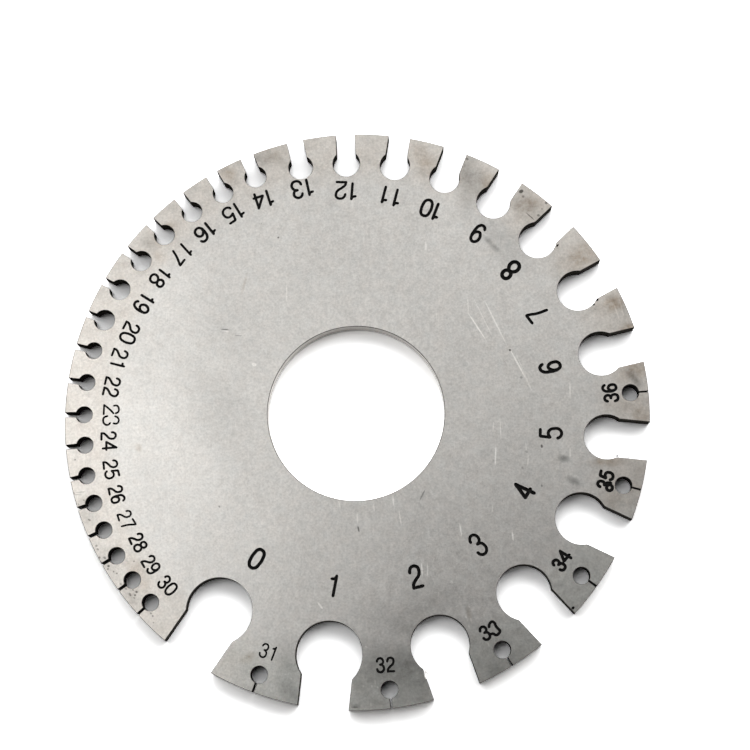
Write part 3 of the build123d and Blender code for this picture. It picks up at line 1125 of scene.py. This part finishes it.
@dataclass
class Engraving:
    """The numbers 0 to 36, cut a little way into the face with a round tool and filled with black."""

    surface: float = THICKNESS
    # the depth of a stroke as a share of its width, and the size of its round end as a share of the tool's
    depth_share: float = 0.40
    end_share: float = 0.91
    point_steps: int = 5
    tool_sides: int = 3
    merge_distance: float = 1e-5

    def tool(self, stroke: float) -> tuple[float, float]:
        """The round tool that leaves a stroke of one width.

        Args:
            stroke: the stroke's width on the face.

        Returns:
            The tool's radius, and how high its centre runs above the face.
        """
        depth = stroke * self.depth_share
        radius = (stroke**2 / 4 + depth**2) / (2 * depth)
        return radius, radius - depth

    def cutter(self) -> Mesh:
        """Builds the space that the tool sweeps through, in millimetres.

        Returns:
            A mesh of round strokes with round ends.
        """
        curve = bpy.data.curves.new("number_strokes", "CURVE")
        curve.dimensions = "3D"
        curve.twist_mode = "Z_UP"
        curve.resolution_u = self.point_steps
        curve.bevel_depth = 1.0
        curve.bevel_resolution = self.tool_sides
        curve.use_fill_caps = True
        ends = []
        for numeral in NUMERALS:
            ends += self.add_numeral(curve, numeral)
        holder = bpy.data.objects.new("number_strokes", curve)
        bpy.context.scene.collection.objects.link(holder)
        bpy.context.view_layer.update()
        mesh = bmesh.new()
        swept = bpy.data.meshes.new_from_object(holder.evaluated_get(bpy.context.evaluated_depsgraph_get()))
        mesh.from_mesh(swept)
        bpy.data.objects.remove(holder)
        bpy.data.meshes.remove(swept)
        for end, radius in ends:
            size = radius * self.end_share
            bmesh.ops.create_icosphere(
                mesh, subdivisions=BALL_DIVISIONS, radius=size, matrix=Matrix.Translation(end)
            )
        bmesh.ops.remove_doubles(mesh, verts=mesh.verts[:], dist=self.merge_distance)
        bmesh.ops.recalc_face_normals(mesh, faces=mesh.faces[:])
        for face in mesh.faces:
            face.material_index = Dressing.BLACKING.value
            face.smooth = True
        return mesh

    def add_numeral(self, curve: bpy.types.Curve, numeral: Numeral) -> list[tuple[Vector, float]]:
        """Adds one number's strokes to the tool's path.

        Args:
            curve: the path.
            numeral: the number.

        Returns:
            Each end of an open stroke, with the tool's radius there.
        """
        radius, height = self.tool(numeral.stroke)
        turn = math.radians(numeral.angle)
        outward = Vector((math.cos(turn), math.sin(turn), 0))
        across = Vector((-math.sin(turn), math.cos(turn), 0))
        middle = outward * numeral.reach + Vector((0, 0, self.surface + height))
        ends = []
        for place, (symbol, digit) in enumerate(zip(str(numeral.number), numeral.digits)):
            strokes = ODD_DIGITS.get((numeral.number, place), DIGIT_STROKES[int(symbol)])
            for closed, points in strokes:
                knots = []
                for x, y in points:
                    right = x * digit.width + y * digit.slant * digit.height + digit.x
                    up = y * digit.height + digit.y
                    knots.append(middle + across * right - outward * up)
                self.add_stroke(curve, knots, closed, radius)
                if not closed:
                    ends += [(knots[0], radius), (knots[-1], radius)]
        return ends

    def add_stroke(self, curve: bpy.types.Curve, knots: list[Vector], closed: bool, radius: float) -> None:
        """Adds one stroke to the tool's path.

        Args:
            curve: the path.
            knots: the points that the stroke runs through.
            closed: whether it comes back to its first point.
            radius: the tool's radius.
        """
        spline = curve.splines.new("BEZIER")
        spline.bezier_points.add(len(knots) - 1)
        spline.use_cyclic_u = closed
        for point, knot in zip(spline.bezier_points, knots):
            point.co = knot
            point.handle_left_type = "AUTO"
            point.handle_right_type = "AUTO"
            point.radius = radius


@dataclass(frozen=True)
class Chip:
    """A small loss or burr at the face: its middle, how long and wide it is, its turn, its depth and its finish."""

    x: float
    y: float
    length: float
    width: float
    turn: float
    depth: float
    finish: Dressing

    def add_to(self, mesh: Mesh, level: float) -> None:
        """Adds the rounded lump that is cut away, or that stands as the burr.

        Args:
            mesh: the mesh that it goes into, in millimetres.
            level: the height of its middle.
        """
        place = Matrix.Translation((self.x, self.y, level)) @ Matrix.Rotation(math.radians(self.turn), 4, "Z")
        shape = Matrix.Diagonal((self.length / 2, self.width / 2, self.depth, 1))
        made = bmesh.ops.create_icosphere(mesh, subdivisions=BALL_DIVISIONS, radius=1, matrix=place @ shape)
        for face in {face for vert in made["verts"] for face in vert.link_faces}:
            face.material_index = self.finish.value
            face.smooth = True


# Pits and chips cut into the face: x, y, length, width, turn, depth, finish
CHIPS = (
    Chip(30.40, -27.90, 0.50, 0.40, 45, 0.25, Dressing.BLACKING),
    Chip(34.88, 16.39, 0.50, 0.34, 30, 0.40, Dressing.WALL),
    Chip(34.40, 15.72, 0.34, 0.30, 60, 0.30, Dressing.WALL),
    Chip(29.35, 24.62, 0.50, 0.26, 50, 0.30, Dressing.WALL),
    Chip(28.67, 30.33, 0.34, 0.26, 20, 0.25, Dressing.WALL),
    Chip(-21.42, 34.74, 0.80, 0.50, 120, 0.45, Dressing.WALL),
    # a torn patch at slot 2's edge, near white as a painted glint
    Chip(9.72, -37.10, 1.15, 0.34, 100, 0.20, Dressing.BARE),
)
# Burrs that stand out from a slot's edge into the slot, in the same order
BURRS = (
    # these three, at slot 2's edge, are near white as a painted glint
    Chip(9.80, -36.70, 0.46, 0.26, 100, 0.12, Dressing.BARE),
    Chip(9.98, -36.86, 0.56, 0.16, 160, 0.10, Dressing.BARE),
    Chip(9.70, -37.35, 0.70, 0.18, 96, 0.10, Dressing.BARE),
    Chip(37.17, -6.44, 0.36, 0.24, 10, 0.14, Dressing.WALL),
    Chip(38.75, -6.60, 0.30, 0.16, 10, 0.12, Dressing.WALL),
)


@dataclass
class WireGauge:
    """The whole gauge: the plate with its numbers, chips and burrs, and with its finishes."""

    plate: Plate = field(default_factory=Plate)
    engraving: Engraving = field(default_factory=Engraving)
    # in millimetres: points of the cut mesh that are nearer than this become one
    merge_distance: float = 1e-4
    # an edge that turns by more than this, in degrees, stays sharp
    sharp_from: float = 28.0

    def finishes(self) -> list[bpy.types.Material]:
        """The plate's materials, in the order of its slots.

        Returns:
            One for each Dressing.
        """
        return [
            SatinStainless().make(),
            # the slots' walls: milled, and coloured dark as painted shade
            CutStainless().make(),
            # broken along the rim and the hand hole: a thin line, coloured darker than the turned walls as painted
            # shade along the edge
            CutStainless(
                name="broken_edge_painted_shade", colour="#62605D", roughness=0.30, line_mm=0.2, glancing="#FFFFFF"
            ).make(),
            MattBlack().make(),
            # torn at a slot's edge: bare and rough, and coloured near white as a painted glint
            CutStainless(
                name="torn_stainless_painted_glint", colour="#EDEBE7", roughness=0.55, line_mm=0.08, glancing="#FFFFFF"
            ).make(),
            # the rim, turned: lighter than the painted shade of the slots' walls, with fine tool lines
            CutStainless(
                name="turned_stainless", colour="#8B8782", roughness=0.32, line_mm=0.1, glancing="#C8C8C8"
            ).make(),
            # painted shade in the finest necks and round the tooth slots' relief holes: nearly black, with hardly any
            # shine
            MattBlack(
                name="painted_shade_in_slots", colour="#0F0E0C", worn="#25221E", roughness=0.9, shine=0.1, grain_mm=0.2
            ).make(),
            # the hand hole, bored and rubbed by fingers: the brightest of the cut walls
            CutStainless(
                name="bored_stainless", colour="#BDB9B4", roughness=0.28, line_mm=0.1, glancing="#FFFFFF"
            ).make(),
        ]

    def cut_numbers(self, finishes: list[bpy.types.Material]) -> Mesh:
        """Cuts the numbers and the chips out of the plate.

        Args:
            finishes: the plate's materials.

        Returns:
            The cut plate, in millimetres.
        """
        blank = add_object("plate_blank", self.plate.body(), finishes)
        swept = self.engraving.cutter()
        for chip in CHIPS:
            chip.add_to(swept, self.plate.thickness)
        cutter = add_object("number_cutter", swept, finishes)
        cut = blank.modifiers.new("cut numbers", "BOOLEAN")
        cut.operation = "DIFFERENCE"
        cut.solver = "EXACT"
        cut.use_self = True
        cut.material_mode = "TRANSFER"
        cut.object = cutter
        bpy.context.view_layer.update()
        data = bpy.data.meshes.new_from_object(blank.evaluated_get(bpy.context.evaluated_depsgraph_get()))
        bpy.data.objects.remove(blank)
        bpy.data.objects.remove(cutter)
        mesh = bmesh.new()
        mesh.from_mesh(data)
        bpy.data.meshes.remove(data)
        bmesh.ops.remove_doubles(mesh, verts=mesh.verts[:], dist=self.merge_distance)
        bmesh.ops.dissolve_degenerate(mesh, dist=self.merge_distance, edges=mesh.edges[:])
        bmesh.ops.triangulate(mesh, faces=mesh.faces[:], quad_method="BEAUTY", ngon_method="BEAUTY")
        return mesh

    def build(self) -> bpy.types.Object:
        """Builds the gauge in place.

        Returns:
            The gauge as one object, in metres.
        """
        finishes = self.finishes()
        mesh = self.cut_numbers(finishes)
        for burr in BURRS:
            burr.add_to(mesh, self.plate.thickness - burr.depth - self.plate.clearance)
        bmesh.ops.scale(mesh, vec=(MM, MM, MM), verts=mesh.verts[:])
        for face in mesh.faces:
            face.smooth = True
        gauge = add_object("engraved_plate", mesh, finishes)
        gauge.data.set_sharp_from_angle(angle=math.radians(self.sharp_from))
        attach(gauge, "root")
        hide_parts("gauge_plate")
        return gauge


@dataclass(frozen=True)
class SoftBox:
    """One round soft lamp of the studio, a metre from the gauge.

    Its direction, height and half width are angles seen from the gauge. A brightness of 1 is as bright as white.
    """

    name: str
    direction: float
    height: float
    half_width: float
    brightness: float


@dataclass
class Studio:
    """The pale floor, the room, the lamps and the camera that looks down on the gauge. Places are in metres."""

    camera_place: tuple[float, float, float] = (0.010379, -0.045789, 0.24899)
    camera_target: tuple[float, float, float] = (0.002740, 0.005508, 0.00238)
    # the lens and the width of the camera's sensor, in millimetres
    lens: float = 84.0
    sensor: float = 36.0
    nearest_seen: float = 0.01
    farthest_seen: float = 20.0
    floor_side: float = 6.0
    floor_level: float = -0.00002
    # the room's light is a band between these heights, in degrees: first where it is nothing, then where it is whole
    band_foot: tuple[float, float] = (5, 32)
    band_top: tuple[float, float] = (60, 35)
    # it is brightest towards one side, and comes up between these cosines of the angle to that side
    bright_side: float = 85.0
    side_from: float = -0.1
    side_full: float = 0.8
    room_all_round: float = 0.20
    room_bright_side: float = 4.1
    # in the steel the room is mirrored as one even pale wall, up to these heights
    mirrored_top: tuple[float, float] = (62, 38)
    room_mirrored: float = 0.70
    # name, direction, height, half width, brightness
    lamps: tuple[SoftBox, ...] = (
        SoftBox("lamp_upper_left", 150, 66, 11, 1.82),
        SoftBox("lamp_left", 180, 50, 13, 0.98),
        SoftBox("lamp_high_left", 180, 76, 9, 1.30),
        SoftBox("lamp_high", 120, 76, 9, 0.68),
        SoftBox("lamp_high_right", 60, 70, 12, 0.80),
        SoftBox("lamp_upper", 90, 50, 13, 2.15),
        SoftBox("lamp_upper_right", 45, 50, 13, 1.85),
    )

    def build(self) -> None:
        """Sets the whole studio up."""
        self.lay_floor()
        self.light_room()
        self.hang_lamps()
        self.set_camera()
        bpy.context.scene.view_settings.view_transform = "Standard"

    def lay_floor(self) -> bpy.types.Object:
        """Lays the floor a hair under the gauge's back.

        Returns:
            The floor.
        """
        mesh = bmesh.new()
        bmesh.ops.create_grid(mesh, x_segments=1, y_segments=1, size=self.floor_side / 2)
        bmesh.ops.translate(mesh, verts=mesh.verts[:], vec=(0, 0, self.floor_level))
        floor = add_object("floor", mesh, [PaleFloor().make()])
        return floor

    def light_room(self) -> None:
        """Gives the room its light: a pale band half way up, brightest on one side.

        Looked at, the room is white. Mirrored, it is an even pale wall under a dark ceiling.
        """
        world = bpy.data.worlds.new("pale_room")
        world.use_nodes = True
        tree = world.node_tree
        tree.nodes.clear()
        way = add_node(tree, "ShaderNodeTexCoord").outputs["Generated"]
        height = add_node(tree, "ShaderNodeSeparateXYZ", None, {0: way}).outputs["Z"]
        fades = []
        for nothing, full in (self.band_top, self.band_foot, self.mirrored_top):
            settings = {
                "interpolation_type": "SMOOTHSTEP",
                "From Min": math.sin(math.radians(nothing)),
                "From Max": math.sin(math.radians(full)),
            }
            fades.append(add_node(tree, "ShaderNodeMapRange", settings, {"Value": height}).outputs[0])
        below_top, above_foot, backdrop = fades
        turn = math.radians(self.bright_side)
        settings = {"operation": "DOT_PRODUCT", 1: (math.cos(turn), math.sin(turn), 0.0)}
        towards = add_node(tree, "ShaderNodeVectorMath", settings, {0: way}).outputs["Value"]
        settings = {
            "interpolation_type": "SMOOTHSTEP",
            "From Min": self.side_from,
            "From Max": self.side_full,
            "To Min": self.room_all_round,
            "To Max": self.room_all_round + self.room_bright_side,
        }
        side = add_node(tree, "ShaderNodeMapRange", settings, {"Value": towards}).outputs[0]
        strength = below_top
        for part in (side, above_foot):
            strength = add_node(tree, "ShaderNodeMath", {"operation": "MULTIPLY"}, {0: strength, 1: part}).outputs[0]
        settings = {"operation": "MULTIPLY", 1: self.room_mirrored}
        mirrored = add_node(tree, "ShaderNodeMath", settings, {0: backdrop}).outputs[0]
        path = add_node(tree, "ShaderNodeLightPath").outputs
        for kind in ("Is Glossy Ray", "Is Transmission Ray"):
            links = {"Factor": path[kind], "A": strength, "B": mirrored}
            strength = add_node(tree, "ShaderNodeMix", None, links).outputs[0]
        links = {"Factor": path["Is Camera Ray"], "A": strength}
        strength = add_node(tree, "ShaderNodeMix", {"B": 1.0}, links).outputs[0]
        light = add_node(tree, "ShaderNodeBackground", {"Color": (1, 1, 1, 1)}, {"Strength": strength})
        add_node(tree, "ShaderNodeOutputWorld", None, {0: light.outputs[0]})
        bpy.context.scene.world = world

    def hang_lamps(self) -> None:
        """Hangs each lamp a metre away and aims it at the gauge."""
        for lamp in self.lamps:
            height = math.radians(lamp.height)
            turn = math.radians(lamp.direction)
            reach = math.cos(height)
            place = Vector((reach * math.cos(turn), reach * math.sin(turn), math.sin(height)))
            radius = math.tan(math.radians(lamp.half_width))
            light = bpy.data.lights.new(lamp.name, "AREA")
            light.shape = "DISK"
            light.size = 2 * radius
            light.energy = lamp.brightness * (math.pi * radius) ** 2
            holder = bpy.data.objects.new(lamp.name, light)
            holder.location = place
            holder.rotation_mode = "QUATERNION"
            holder.rotation_quaternion = (-place).to_track_quat("-Z", "Y")
            bpy.context.scene.collection.objects.link(holder)

    def set_camera(self) -> bpy.types.Object:
        """Puts the camera where the photograph was taken from, upright against +Y.

        Returns:
            The camera.
        """
        data = bpy.data.cameras.new("camera")
        data.lens = self.lens
        data.sensor_width = self.sensor
        data.clip_start = self.nearest_seen
        data.clip_end = self.farthest_seen
        camera = bpy.data.objects.new("camera", data)
        place = Vector(self.camera_place)
        ahead = (Vector(self.camera_target) - place).normalized()
        right = ahead.cross(Vector((0, 1, 0))).normalized()
        up = right.cross(ahead)
        turn = Matrix((right, up, -ahead)).transposed()
        camera.matrix_world = Matrix.Translation(place) @ turn.to_4x4()
        bpy.context.scene.collection.objects.link(camera)
        bpy.context.scene.camera = camera
        return camera


def main() -> None:
    """Builds the gauge and its studio, and reports each piece."""
    logging.basicConfig(level=logging.INFO, format="%(name)s: %(message)s")
    Studio().build()
    log.info("studio ready")
    gauge = WireGauge().build()
    log.info("%s: %d faces", gauge.name, len(gauge.data.polygons))


if __name__ == "__main__":
    main()
